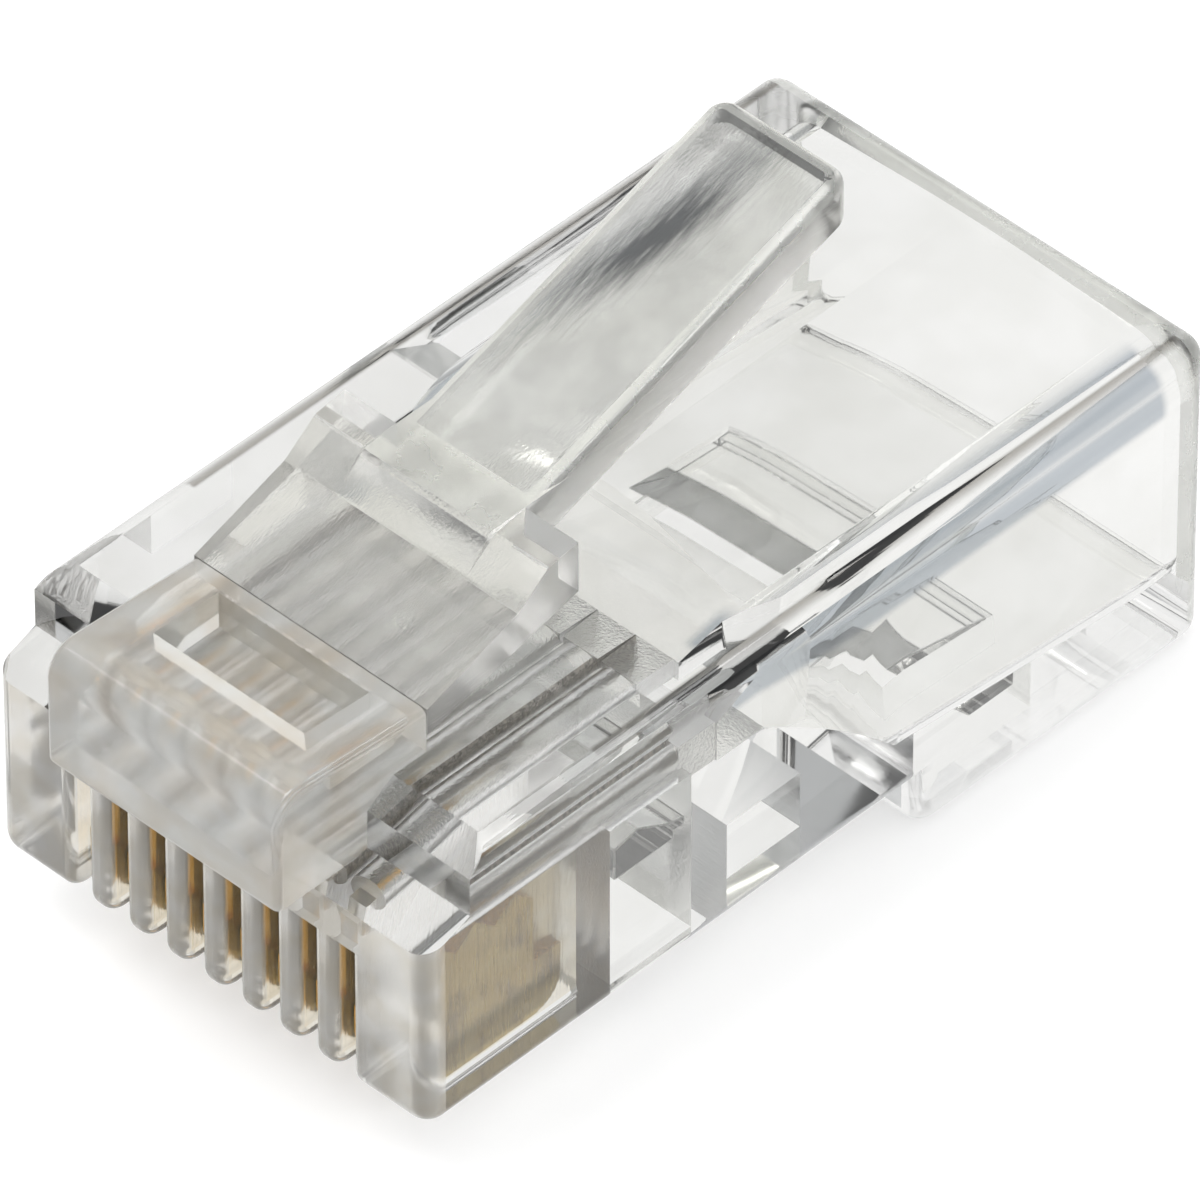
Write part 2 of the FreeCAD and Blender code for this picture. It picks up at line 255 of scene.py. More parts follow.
@dataclass(frozen=True)
class ClearPolycarbonate:
    """Injection-moulded clear polycarbonate.

    It is water-clear with a trace of warm grey in depth. Its index of 1.585 is high, which gives
    the eye strong dark and bright bands along every edge and round. Where the tool was left
    rough the skin scatters light, and thick sections look milky.
    """

    name: str
    tint: str = "#FAFAF8"
    shade: str = "#F3F3F0"        # second tint, in soft clouds
    cloud_mm: float = 2.2
    cloud_limits: tuple[float, float] = (0.40, 0.60)     # of the noise, for the shade and the tint
    roughness: float = 0.02
    ior: float = 1.585
    haze: float = 0.0             # share of the light that a frosted skin scatters
    grain_mm: float = 0.0         # size of the tool's texture, 0 for a polished tool
    grain_depth_mm: float = 0.0
    stretch: tuple[float, float, float] = (1.0, 1.0, 1.0)
    ripple_mm: float = 4.5        # slow waviness that moulding shrinkage leaves in a flat wall
    ripple_depth_mm: float = 0.003
    smear_mm: float = 1.3         # size of the patches in which the polish differs
    smear_limits: tuple[float, float] = (0.35, 0.75)     # of the noise, for the best and the worst
    smear_gain: float = 1.8       # how many times rougher the worst is
    marks: tuple[RingMark, ...] = ()
    # a dark streak of painted reflection, if any
    painted_streak: PaintedReflectionStreak | None = None
    # painted reflections, laid on the walls as fixed tints
    painted_reflection_bands: tuple[PaintedReflectionBand, ...] = ()

    def build(self) -> bpy.types.Material:
        """Make the node material.

        Returns:
            The material, with clear transmission, soft clouds, a slow ripple and the tool's grain.
        """
        material = bpy.data.materials.new(self.name)
        material.use_nodes = True
        tree = material.node_tree
        shader = tree.nodes["Principled BSDF"]
        shader.inputs["IOR"].default_value = self.ior
        shader.inputs["Transmission Weight"].default_value = 1.0 - self.haze
        place = add_node(tree, "ShaderNodeTexCoord").outputs["Object"]
        tree.links.new(self.colour(tree, place), shader.inputs["Base Color"])
        ripple = add_node(tree, "ShaderNodeTexNoise", inputs={
            "Vector": place, "Scale": 1 / (self.ripple_mm * MM), "Detail": 1.0})
        bump = add_node(tree, "ShaderNodeBump", inputs={
            "Height": ripple.outputs["Fac"], "Distance": self.ripple_depth_mm * MM, "Strength": 1.0})
        if self.grain_mm:
            along = add_node(tree, "ShaderNodeMapping", inputs={"Vector": place, "Scale": self.stretch})
            grain = add_node(tree, "ShaderNodeTexNoise", inputs={
                "Vector": along.outputs["Vector"], "Scale": 1 / (self.grain_mm * MM), "Detail": 3.0})
            bump = add_node(tree, "ShaderNodeBump", inputs={
                "Height": grain.outputs["Fac"], "Distance": self.grain_depth_mm * MM, "Strength": 1.0,
                "Normal": bump.outputs["Normal"]})
        for mark in self.marks:
            axes = add_node(tree, "ShaderNodeSeparateXYZ", inputs={0: place}).outputs
            bump = add_node(tree, "ShaderNodeBump", inputs={
                "Height": mark.height(tree, axes["X"], axes["Z"]), "Distance": mark.raised_mm * MM,
                "Strength": 1.0, "Normal": bump.outputs["Normal"]})
        smear = add_node(tree, "ShaderNodeTexNoise", inputs={
            "Vector": place, "Scale": 1 / (self.smear_mm * MM), "Detail": 4.0, "Roughness": 0.6})
        rough = add_node(tree, "ShaderNodeMapRange", inputs={
            "Value": smear.outputs["Fac"],
            "From Min": self.smear_limits[0], "From Max": self.smear_limits[1],
            "To Min": self.roughness, "To Max": self.roughness * self.smear_gain})
        tree.links.new(rough.outputs["Result"], shader.inputs["Roughness"])
        tree.links.new(bump.outputs["Normal"], shader.inputs["Normal"])
        return material

    def colour(self, tree: bpy.types.NodeTree, place: bpy.types.NodeSocket) -> bpy.types.NodeSocket:
        """Mix the two tints in soft clouds, and lay the painted reflection bands and streak over them.

        Args:
            tree: The material's tree.
            place: Object coordinates.

        Returns:
            The colour that light takes on in the plastic.
        """
        cloud = add_node(tree, "ShaderNodeTexNoise", inputs={
            "Vector": place, "Scale": 1 / (self.cloud_mm * MM), "Detail": 2.0})
        ramp = add_node(tree, "ShaderNodeValToRGB", inputs={"Fac": cloud.outputs["Fac"]})
        stops = ramp.color_ramp.elements
        for stop, position, tone in zip(stops, self.cloud_limits, (self.shade, self.tint)):
            stop.position = position
            stop.color = linear(tone)
        colour = ramp.outputs["Color"]
        for layer in self.painted_reflection_bands + ((self.painted_streak,) if self.painted_streak else ()):
            colour = add_node(tree, "ShaderNodeMix", {"data_type": "RGBA"}, {
                "Factor": layer.mask(tree, place), COLOUR_A: colour,
                COLOUR_B: linear(layer.colour)}).outputs[MIXED]
        return colour


@dataclass(frozen=True)
class GoldPlate:
    """Gold flashed over nickel on phosphor bronze, blanked from strip.

    The cut edges that meet the jack are painted a warm, bright gold as a painted highlight. The rolled
    faces are a duller olive, with fine upright lines from the rolling and browner patches where the plate
    thins.
    """

    name: str = "Gold-plated phosphor bronze"
    # painted highlight, on the faces that don't face sideways
    painted_highlight: str = "#DDB059"           # cut edges
    dull: str = "#B5A36C"             # rolled faces
    worn: str = "#6E5630"             # their browner patches
    wear: tuple[float, float] = (0.72, 0.98)      # sums of noise at which it is brown and olive
    patch_mm: float = 1.1
    streak_mm: float = 0.22
    streak_shape: tuple[float, float, float] = (1.0, 1.0, 0.10)
    streak_share: float = 0.8         # how much the streaks count beside the patches
    line_mm: float = 0.05
    line_shape: tuple[float, float, float] = (1.0, 1.0, 0.06)
    line_depth_mm: float = 0.006
    roughness: float = 0.22
    rough_spread: tuple[float, float] = (0.7, 1.6)     # between the smoothest and roughest line

    def build(self) -> bpy.types.Material:
        """Make the node material.

        Returns:
            The metal, with rolling lines in its roughness and bump, patches in its colour and a painted
            highlight on the edges.
        """
        material = bpy.data.materials.new(self.name)
        material.use_nodes = True
        tree = material.node_tree
        shader = tree.nodes["Principled BSDF"]
        shader.inputs["Metallic"].default_value = 1.0
        place = add_node(tree, "ShaderNodeTexCoord").outputs["Object"]
        patches = add_node(tree, "ShaderNodeTexNoise", inputs={
            "Vector": place, "Scale": 1 / (self.patch_mm * MM), "Detail": 3.0})
        upright = add_node(tree, "ShaderNodeMapping", inputs={
            "Vector": place, "Scale": self.streak_shape})
        streaks = add_node(tree, "ShaderNodeTexNoise", inputs={
            "Vector": upright.outputs["Vector"], "Scale": 1 / (self.streak_mm * MM), "Detail": 4.0,
            "Roughness": 0.65})
        shown = add_node(tree, "ShaderNodeMath", {"operation": "MULTIPLY_ADD"}, {
            0: streaks.outputs["Fac"], 1: self.streak_share, 2: patches.outputs["Fac"]}).outputs[0]
        colour = add_node(tree, "ShaderNodeValToRGB", inputs={"Fac": shown})
        for stop, position, tone in zip(colour.color_ramp.elements, self.wear, (self.worn, self.dull)):
            stop.position = position
            stop.color = linear(tone)
        # faces that don't face sideways get the bright gold of a painted highlight
        facing = add_node(tree, "ShaderNodeTexCoord").outputs["Normal"]
        flat_side = add_node(tree, "ShaderNodeMath", {"operation": "ABSOLUTE"}, {
            0: add_node(tree, "ShaderNodeSeparateXYZ", inputs={0: facing}).outputs["X"]}).outputs[0]
        plated = add_node(tree, "ShaderNodeMix", {"data_type": "RGBA"}, {
            "Factor": flat_side, COLOUR_A: linear(self.painted_highlight),
            COLOUR_B: colour.outputs["Color"]}).outputs[MIXED]
        along = add_node(tree, "ShaderNodeMapping", inputs={"Vector": place, "Scale": self.line_shape})
        lines = add_node(tree, "ShaderNodeTexNoise", inputs={
            "Vector": along.outputs["Vector"], "Scale": 1 / (self.line_mm * MM), "Detail": 2.0})
        rough = add_node(tree, "ShaderNodeMapRange", inputs={
            "Value": lines.outputs["Fac"], "To Min": self.roughness * self.rough_spread[0],
            "To Max": self.roughness * self.rough_spread[1]})
        bump = add_node(tree, "ShaderNodeBump", inputs={
            "Height": lines.outputs["Fac"], "Distance": self.line_depth_mm * MM, "Strength": 1.0})
        tree.links.new(plated, shader.inputs["Base Color"])
        tree.links.new(rough.outputs["Result"], shader.inputs["Roughness"])
        tree.links.new(bump.outputs["Normal"], shader.inputs["Normal"])
        return material


@dataclass(kw_only=True)
class ClearMoulding:
    """A polycarbonate piece: the CAD solid with its small rounds, smooth shading and finishes."""

    node: str
    body: str
    finishes: dict[Region, bpy.types.Material]
    edge_break: float = 0.035 * MM    # radius that the tool leaves on an edge drawn sharp
    weld: float = 0.0005 * MM
    flat_angle: float = math.radians(0.4)      # faces that turn less are joined
    least_edge: float = math.radians(3)        # a line that turns less is never an edge
    sure_edge: float = math.radians(55)        # a line that turns more always is
    facet_height: float = 0.01 * MM   # how far a curved face's facets stand off the true curve
    facet_turn: float = 12.0          # a facet turns by up to this many heights over its width

    def solid(self) -> bpy.types.Mesh:
        """Copy the CAD solid as one welded skin with whole flat faces.

        Returns:
            A new mesh; the CAD node's own stays as it is.
        """
        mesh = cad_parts[self.node].data.copy()
        mesh.name = self.node + "_skin"
        mesh.materials.clear()
        skin = bmesh.new()
        skin.from_mesh(mesh)
        bmesh.ops.remove_doubles(skin, verts=skin.verts, dist=self.weld)
        bmesh.ops.dissolve_limit(skin, angle_limit=self.flat_angle, verts=skin.verts, edges=skin.edges)
        self.mark_edges(skin)
        for face in skin.faces:
            face.smooth = True
            face.material_index = self.slot_index(self.region_of(face.calc_center_median(), face.normal))
        skin.to_mesh(mesh)
        skin.free()
        return mesh

    def region_of(self, place: Vector, normal: Vector) -> Region:
        """Say how the tool finished the piece at a place."""
        return Region.POLISHED

    def slot_index(self, region: Region) -> int:
        """Give a region's place among the piece's material slots."""
        return list(self.finishes).index(region)

    def mark_edges(self, skin: bmesh.types.BMesh) -> None:
        """Mark the true edges, and leave the lines between a curve's facets smooth.

        Args:
            skin: The welded mesh. A line is a facet's if its angle fits the facet's width.
        """
        weight = skin.edges.layers.float.new("bevel_weight_edge")
        for edge in skin.edges:
            if len(edge.link_faces) != 2:
                continue
            angle = edge.calc_face_angle(0.0)
            width = min(f.calc_area() / max(e.calc_length() for e in f.edges) for f in edge.link_faces)
            curved = self.facet_turn * self.facet_height / max(width, self.facet_height)
            if angle > self.least_edge and (angle > curved or angle > self.sure_edge):
                edge.smooth = False
                edge[weight] = 1.0

    def build(self) -> bpy.types.Object:
        """Make the dressed piece.

        Returns:
            The piece, riding on its body in place of the CAD node.
        """
        mesh = self.solid()
        piece = bpy.data.objects.new(self.node + "_moulding", mesh)
        bpy.context.collection.objects.link(piece)
        for material in self.finishes.values():
            mesh.materials.append(material)
        broken = piece.modifiers.new("edge_break", "BEVEL")
        broken.limit_method = "WEIGHT"
        broken.width = self.edge_break
        broken.segments = 2
        broken.use_clamp_overlap = True
        broken.material = self.slot_index(Region.GLINT)
        even = piece.modifiers.new("flat_faces", "WEIGHTED_NORMAL")
        even.keep_sharp = True
        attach(piece, self.body)
        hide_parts(self.node)
        return piece


@dataclass(kw_only=True)
class Housing(ClearMoulding):
    """The moulded body with its nose, ribs, channels and cable cavity."""

    node: str = "housing"
    body: str = "housing"
    nose_half: float = 3.2 * MM
    nose_front: float = -0.05 * MM    # only the nose reaches forward of this
    nose_deck: float = 8.0 * MM       # or above this, between its sides
    slots_half: float = 4.1 * MM
    slots_start: float = 0.3 * MM
    slots_end: float = 4.95 * MM
    slots_top: float = 5.1 * MM
    ribs_end: float = 0.75 * MM
    ribs_rise: float = 0.8 * MM       # how far the front wall stands over the channels' middle
    channel_height: float = 5.55 * MM
    channel_reach: float = 0.5 * MM   # above and below that height
    channel_start: float = 0.8 * MM
    channel_end: float = 8.95 * MM
    last_web: float = 3.06 * MM
    web_reach: float = 0.2 * MM
    collar: float = 4.0 * MM          # length behind the pockets
    pockets_half: float = 4.75 * MM
    rim: float = 0.5 * MM
    rim_start: float = 3.0 * MM       # the rim is rounded above this height
    back: float = field(default_factory=lambda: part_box("housing")[1].y)

    def region_of(self, place: Vector, normal: Vector) -> Region:
        """Say how the tool finished the housing at a place.

        Args:
            place: A face's middle.
            normal: The way it faces.

        Returns:
            Its region.
        """
        aside = abs(place.x)
        inside_row = aside < self.slots_half
        at_channels = inside_row and abs(place.z - self.channel_height) < self.channel_reach
        at_slots = inside_row and self.slots_start < place.y < self.slots_end
        channels_low = self.channel_height - self.channel_reach
        if place.y > self.back - self.rim and place.z > self.rim_start:
            return Region.RIM
        if aside < self.nose_half and (place.y < self.nose_front or place.z > self.nose_deck):
            return Region.SATIN
        if at_channels and self.channel_start < place.y < self.channel_end:
            web = abs(aside - self.last_web) < self.web_reach and abs(normal.x) > MOSTLY
            return Region.WEB_PAINTED_SHADE if web else Region.ERODED
        if at_slots and place.z < self.slots_top and abs(normal.x) > NEARLY:
            return Region.LINED
        front_top = self.channel_height + self.ribs_rise
        if place.y < self.ribs_end and place.z < front_top and normal.z < PARTLY:
            return Region.MILKY
        if self.slots_end < place.y < self.back - self.collar and place.z < channels_low:
            return self.pocket(place, normal)
        return Region.POLISHED

    def pocket(self, place: Vector, normal: Vector) -> Region:
        """Tell a pocket's cross walls, grey with painted shade, from the outer skin and the cavity."""
        across = abs(normal.z) < BARELY and abs(normal.y) > SQUARELY
        return Region.GROUND_PAINTED_SHADE if across and abs(place.x) < self.pockets_half else Region.POLISHED


@dataclass(kw_only=True)
class Latch(ClearMoulding):
    """The sprung arm with its two shoulders and the thumb tab."""

    node: str = "latch"
    body: str = "latch"
    tab_start: float = 7.3 * MM
    shoulder_start: float = 5.2 * MM
    tab_lean: tuple[float, float] = (0.93, 0.96)      # how far up the tab's upper face looks
    tab_flank: float = 0.98

    def region_of(self, place: Vector, normal: Vector) -> Region:
        """Give the tab its upper face, greyed by a painted reflection, and its frosted rounds.

        Args:
            place: A face's middle.
            normal: The way it faces.

        Returns:
            Its region.
        """
        if place.y < self.tab_start:
            flank = abs(normal.x) > NEARLY and place.y > self.shoulder_start
            return Region.COARSE_PAINTED_SHADE if flank else Region.DRAWN
        if self.tab_lean[0] < normal.z < self.tab_lean[1]:
            return Region.PAINTED_REFLECTION
        plain = abs(normal.x) > self.tab_flank or normal.z < -NEARLY
        return Region.DRAWN if plain else Region.RIM


@dataclass(kw_only=True)
class Clamp(ClearMoulding):
    """One of the two bars that crimping presses down."""

    def region_of(self, place: Vector, normal: Vector) -> Region:
        """Grind the faces that lie along the bar, and grey them with painted shade."""
        return Region.GROUND_PAINTED_SHADE if abs(normal.y) > PARTLY else Region.POLISHED


@dataclass
class ContactBlades:
    """Eight insulation-piercing blades, each made by one geometry tree."""

    material: bpy.types.Material
    count: int = 8
    foot_height: float = 1.40 * MM
    setback: float = 0.10 * MM        # from the foot's front end to the blade
    heel: float = 0.74 * MM           # the foot's length behind the blade
    prong_height: float = 0.45 * MM
    prongs: int = 3
    heel_radius: float = 0.70 * MM
    corner_steps: int = 5
    weld: float = 0.0001 * MM
    # each plate is a little thinner than the last, so that no two faces share a plane
    sole_share: float = 1.0
    upper_share: float = 0.995
    blade_share: float = 0.98
    prong_share: float = 0.96

    def tree(self) -> bpy.types.NodeTree:
        """Make the geometry tree of one blade.

        Returns:
            A tree whose named inputs are the blade's sizes and its lowest corner.
        """
        tree = bpy.data.node_groups.new("contact_blade", "GeometryNodeTree")
        face = tree.interface
        for name, kind in (("Length", "Float"), ("Height", "Float"), ("Thickness", "Float"),
                           ("Foot Height", "Float"), ("Setback", "Float"), ("Heel", "Float"),
                           ("Prong Height", "Float"), ("Heel Radius", "Float"), ("Prongs", "Int"),
                           ("Low Corner", "Vector")):
            face.new_socket(name, in_out="INPUT", socket_type="NodeSocket" + kind)
        face.new_socket("Geometry", in_out="OUTPUT", socket_type="NodeSocketGeometry")
        given = add_node(tree, "NodeGroupInput").outputs

        def maths(operation: str, a: Any, b: Any) -> bpy.types.NodeSocket:
            """Join two numbers with one operation."""
            return add_node(tree, "ShaderNodeMath", {"operation": operation}, {0: a, 1: b}).outputs[0]

        def place(y: Any, z: Any) -> bpy.types.NodeSocket:
            """Make a vector in the blade's flat plane."""
            return add_node(tree, "ShaderNodeCombineXYZ", inputs={0: y, 1: z}).outputs[0]

        def plate(curve: bpy.types.NodeSocket, share: float) -> bpy.types.NodeSocket:
            """Fill a flat outline and make it a plate.

            Args:
                curve: The closed outline.
                share: The plate's share of the blade's thickness, kept in the middle.

            Returns:
                The closed plate.
            """
            flat = add_node(tree, "GeometryNodeFillCurve", inputs={"Curve": curve}).outputs["Mesh"]
            aside = maths("MULTIPLY", given["Thickness"], (1.0 - share) / 2)
            lift = add_node(tree, "ShaderNodeCombineXYZ", inputs={2: aside}).outputs[0]
            flat = add_node(tree, "GeometryNodeTransform", inputs={
                "Geometry": flat, "Translation": lift}).outputs["Geometry"]
            raised = add_node(tree, "GeometryNodeExtrudeMesh", inputs={
                "Mesh": flat, "Offset Scale": maths("MULTIPLY", given["Thickness"], share),
                "Individual": False}).outputs["Mesh"]
            back = add_node(tree, "GeometryNodeFlipFaces", inputs={"Mesh": flat}).outputs["Mesh"]
            both = add_node(tree, "GeometryNodeJoinGeometry", inputs={0: raised}).inputs[0]
            tree.links.new(back, both)
            closed = add_node(tree, "GeometryNodeMergeByDistance", inputs={
                "Geometry": both.node.outputs[0], "Distance": self.weld})
            return closed.outputs["Geometry"]

        def slab(length: Any, height: Any, middle: Any, radius: Any,
                 share: float) -> bpy.types.NodeSocket:
            """Make a rectangular plate with round corners.

            Args:
                length: Its size along the flat x.
                height: Its size along the flat y.
                middle: Where its middle lies.
                radius: Of the corners, 0 for sharp ones.
                share: The plate's share of the blade's thickness.

            Returns:
                The closed plate.
            """
            loop = add_node(tree, "GeometryNodeCurvePrimitiveQuadrilateral", inputs={
                "Width": length, "Height": height}).outputs["Curve"]
            loop = add_node(tree, "GeometryNodeFilletCurve", {"mode": "POLY"}, {
                "Curve": loop, "Radius": radius, "Count": self.corner_steps,
                "Limit Radius": True}).outputs["Curve"]
            loop = add_node(tree, "GeometryNodeTransform", inputs={
                "Geometry": loop, "Translation": middle}).outputs["Geometry"]
            return plate(loop, share)

        half_length = maths("MULTIPLY", given["Length"], 0.5)
        blade_length = maths("SUBTRACT", given["Length"], maths("ADD", given["Setback"], given["Heel"]))
        blade_middle = maths("ADD", given["Setback"], maths("MULTIPLY", blade_length, 0.5))
        blade_top = maths("SUBTRACT", given["Height"], given["Prong Height"])
        sole = slab(given["Length"], given["Foot Height"],
                    place(half_length, maths("MULTIPLY", given["Foot Height"], 0.5)),
                    given["Heel Radius"], self.sole_share)
        upper_height = maths("SUBTRACT", given["Foot Height"], given["Heel Radius"])
        upper = slab(given["Length"], upper_height,
                     place(half_length, maths("SUBTRACT", given["Foot Height"],
                                              maths("MULTIPLY", upper_height, 0.5))),
                     0.0, self.upper_share)
        blade_low = maths("MULTIPLY", given["Foot Height"], 0.5)
        blade_high = maths("SUBTRACT", blade_top, blade_low)
        blade = slab(blade_length, blade_high,
                     place(blade_middle, maths("ADD", blade_low, maths("MULTIPLY", blade_high, 0.5))),
                     0.0, self.blade_share)
        pitch = maths("DIVIDE", blade_length, given["Prongs"])
        row = add_node(tree, "GeometryNodeMeshLine", inputs={
            "Count": given["Prongs"], "Start Location": place(
                maths("ADD", given["Setback"], maths("MULTIPLY", pitch, 0.5)), blade_top),
            "Offset": place(pitch, 0.0)}).outputs["Mesh"]
        kite = add_node(tree, "GeometryNodeCurvePrimitiveQuadrilateral", {"mode": "KITE"}, {
            "Width": pitch, "Bottom Height": given["Prong Height"],
            "Top Height": given["Prong Height"]}).outputs["Curve"]
        points = add_node(tree, "GeometryNodeInstanceOnPoints", inputs={
            "Points": row, "Instance": plate(kite, self.prong_share)}).outputs["Instances"]
        joined = add_node(tree, "GeometryNodeJoinGeometry", inputs={0: sole})
        for plate_made in (upper, blade, points):
            tree.links.new(plate_made, joined.inputs[0])
        # the flat plane's x and y become the plug's length and height
        upright = add_node(tree, "GeometryNodeTransform", inputs={
            "Geometry": joined.outputs[0], "Rotation": (math.pi / 2, 0.0, math.pi / 2)})
        placed = add_node(tree, "GeometryNodeTransform", inputs={
            "Geometry": upright.outputs["Geometry"], "Translation": given["Low Corner"]})
        real = add_node(tree, "GeometryNodeRealizeInstances", inputs={
            "Geometry": placed.outputs["Geometry"]})
        plated = add_node(tree, "GeometryNodeSetMaterial", inputs={
            "Geometry": real.outputs["Geometry"], "Material": self.material})
        add_node(tree, "NodeGroupOutput", inputs={0: plated.outputs["Geometry"]})
        return tree

    def build(self) -> list[bpy.types.Object]:
        """Make the eight blades.

        Returns:
            The blades, each riding on its own body.
        """
        tree = self.tree()
        sockets = {i.name: i.identifier for i in tree.interface.items_tree if i.in_out == "INPUT"}
        blades = []
        for number in range(1, self.count + 1):
            node = f"contact_{number}"
            low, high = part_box(node)
            maker = bpy.data.objects.new("maker", bpy.data.meshes.new("maker"))
            bpy.context.collection.objects.link(maker)
            modifier = maker.modifiers.new("blade", "NODES")
            modifier.node_group = tree
            sizes = {"Length": high.y - low.y, "Height": high.z - low.z, "Thickness": high.x - low.x,
                     "Foot Height": self.foot_height, "Setback": self.setback, "Heel": self.heel,
                     "Prong Height": self.prong_height, "Heel Radius": self.heel_radius,
                     "Prongs": self.prongs, "Low Corner": low}
            for name, value in sizes.items():
                modifier[sockets[name]] = value
            maker.update_tag()
            seen = maker.evaluated_get(bpy.context.evaluated_depsgraph_get())
            mesh = bpy.data.meshes.new_from_object(seen)
            bpy.data.objects.remove(maker)
            blade = bpy.data.objects.new(node + "_blade", mesh)
            bpy.context.collection.objects.link(blade)
            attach(blade, node)
            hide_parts(node)
            blades.append(blade)
        return blades


@dataclass(frozen=True)
class SoftLamp:
    """A square studio lamp."""

    name: str
    place: tuple[float, float, float]     # its middle, in metres
    side: float
    watts: float

    def hang(self, target: Vector) -> None:
        """Add the lamp to the scene.

        Args:
            target: The point that it faces.
        """
        data = bpy.data.lights.new(self.name, "AREA")
        data.size = self.side
        data.energy = self.watts
        lamp = bpy.data.objects.new(self.name, data)
        lamp.location = self.place
        lamp.rotation_euler = (target - Vector(self.place)).to_track_quat("-Z", "Y").to_euler()
        bpy.context.collection.objects.link(lamp)


@dataclass
class Studio:
    """White floor and surround, soft lamps and the camera."""

    floor_size: float = 2.0
    floor_paint: str = "#C8C8C8"
    azimuth: float = 43.995           # degrees round from the nose
    elevation: float = 42.743
    distance: float = 0.3878          # from the target, in metres
    lens_mm: float = 600.0
    sensor_mm: float = 36.0
    nearest: float = 0.01             # the camera sees from here to the farthest, in metres
    farthest: float = 20.0
    floor_to_camera: float = 0.50     # how much the floor glows to the camera
    floor_through: float = 0.88       # and through the plastic or mirrored in it
    paint_through: float = 0.15       # share of the floor's paint that shows there
    room: tuple[tuple[float, str], ...] = (   # by the sine of the height above the horizon
        (0.00, "#F4F4F4"), (0.10, "#F4F4F4"), (0.22, "#BEC0C2"), (0.62, "#B2B4B6"), (0.80, "#FFFFFF"))
    target: Vector = field(default_factory=lambda: Vector((0, 10.0, 4.73)) * MM)
    aside: float = 0.5416 * MM        # how far the camera stands to the right of the target
    above: float = 0.1854 * MM        # and above it
    lamps: tuple[SoftLamp, ...] = (
        SoftLamp("key_lamp", (-0.12, -0.12, 0.55), 0.30, 1.2),
        SoftLamp("fill_lamp", (0.45, -0.35, 0.35), 0.30, 0.6))

    def floor(self) -> None:
        """Lay the floor just under the object. It is white, and the object's shadow shows on it."""
        low = CAD_BOX[0].z
        half = self.floor_size / 2
        mesh = bpy.data.meshes.new("floor")
        mesh.from_pydata([(-half, -half, low), (half, -half, low), (half, half, low), (-half, half, low)],
                         [], [(0, 1, 2, 3)])
        floor = bpy.data.objects.new("floor", mesh)
        bpy.context.collection.objects.link(floor)
        material = bpy.data.materials.new("White acrylic light table")
        material.use_nodes = True
        tree = material.node_tree
        tree.nodes.clear()
        path = add_node(tree, "ShaderNodeLightPath").outputs
        straight = add_node(tree, "ShaderNodeMath", {"operation": "MULTIPLY"}, {
            0: path["Is Camera Ray"], 1: self.floor_to_camera}).outputs[0]
        bent = add_node(tree, "ShaderNodeMath", {"operation": "MAXIMUM"}, {
            0: path["Is Glossy Ray"], 1: path["Is Transmission Ray"]}).outputs[0]
        glow = add_node(tree, "ShaderNodeMath", {"operation": "MULTIPLY_ADD"}, {
            0: bent, 1: self.floor_through, 2: straight}).outputs[0]
        light = add_node(tree, "ShaderNodeEmission", inputs={"Strength": glow}).outputs[0]
        paint = add_node(tree, "ShaderNodeBsdfDiffuse", inputs={
            "Color": linear(self.floor_paint)}).outputs[0]
        less = add_node(tree, "ShaderNodeMath", {"operation": "MULTIPLY"}, {
            0: bent, 1: 1.0 - self.paint_through}).outputs[0]
        paint = add_node(tree, "ShaderNodeMixShader", inputs={0: less, 1: paint}).outputs[0]
        both = add_node(tree, "ShaderNodeAddShader", inputs={0: light, 1: paint}).outputs[0]
        add_node(tree, "ShaderNodeOutputMaterial", inputs={"Surface": both})
        mesh.materials.append(material)

    def surround(self) -> None:
        """Make the world: white round the horizon, a grey room above and a soft box overhead."""
        world = bpy.data.worlds.new("studio")
        bpy.context.scene.world = world
        world.use_nodes = True
        tree = world.node_tree
        tree.nodes.clear()
        way = add_node(tree, "ShaderNodeTexCoord").outputs["Generated"]
        up = add_node(tree, "ShaderNodeSeparateXYZ", inputs={0: way}).outputs["Z"]
        room = add_node(tree, "ShaderNodeValToRGB", inputs={"Fac": up})
        stops = room.color_ramp.elements
        stops[0].color = linear(self.room[0][1])
        stops[1].color = linear(self.room[-1][1])
        for position, colour in self.room[1:]:
            stops.new(position).color = linear(colour)
        path = add_node(tree, "ShaderNodeLightPath").outputs
        seen = add_node(tree, "ShaderNodeMath", {"operation": "MAXIMUM"}, {
            0: path["Is Glossy Ray"], 1: path["Is Transmission Ray"]}).outputs[0]
        light = add_node(tree, "ShaderNodeMix", {"data_type": "RGBA"}, {
            "Factor": seen, COLOUR_A: linear("#FFFFFF"),
            COLOUR_B: room.outputs["Color"]}).outputs[MIXED]
        background = add_node(tree, "ShaderNodeBackground", inputs={"Color": light, "Strength": 1.0})
        add_node(tree, "ShaderNodeOutputWorld", inputs={"Surface": background.outputs[0]})

    def camera(self) -> None:
        """Set the scene's camera at the viewing angle."""
        turn, rise = math.radians(self.azimuth), math.radians(self.elevation)
        back = Vector((math.sin(turn) * math.cos(rise), -math.cos(turn) * math.cos(rise), math.sin(rise)))
        aim = back.to_track_quat("Z", "Y")
        right, up = aim @ Vector((1, 0, 0)), aim @ Vector((0, 1, 0))
        data = bpy.data.cameras.new("camera")
        data.lens = self.lens_mm
        data.sensor_width = self.sensor_mm
        data.clip_start = self.nearest
        data.clip_end = self.farthest
        camera = bpy.data.objects.new("camera", data)
        camera.location = self.target + back * self.distance + right * self.aside + up * self.above
        camera.rotation_euler = aim.to_euler()
        bpy.context.collection.objects.link(camera)
        bpy.context.scene.camera = camera

    def build(self) -> None:
        """Set up the whole studio."""
        self.floor()
        self.surround()
        for lamp in self.lamps:
            lamp.hang(self.target)
        self.camera()
        bpy.context.scene.view_settings.view_transform = "Standard"


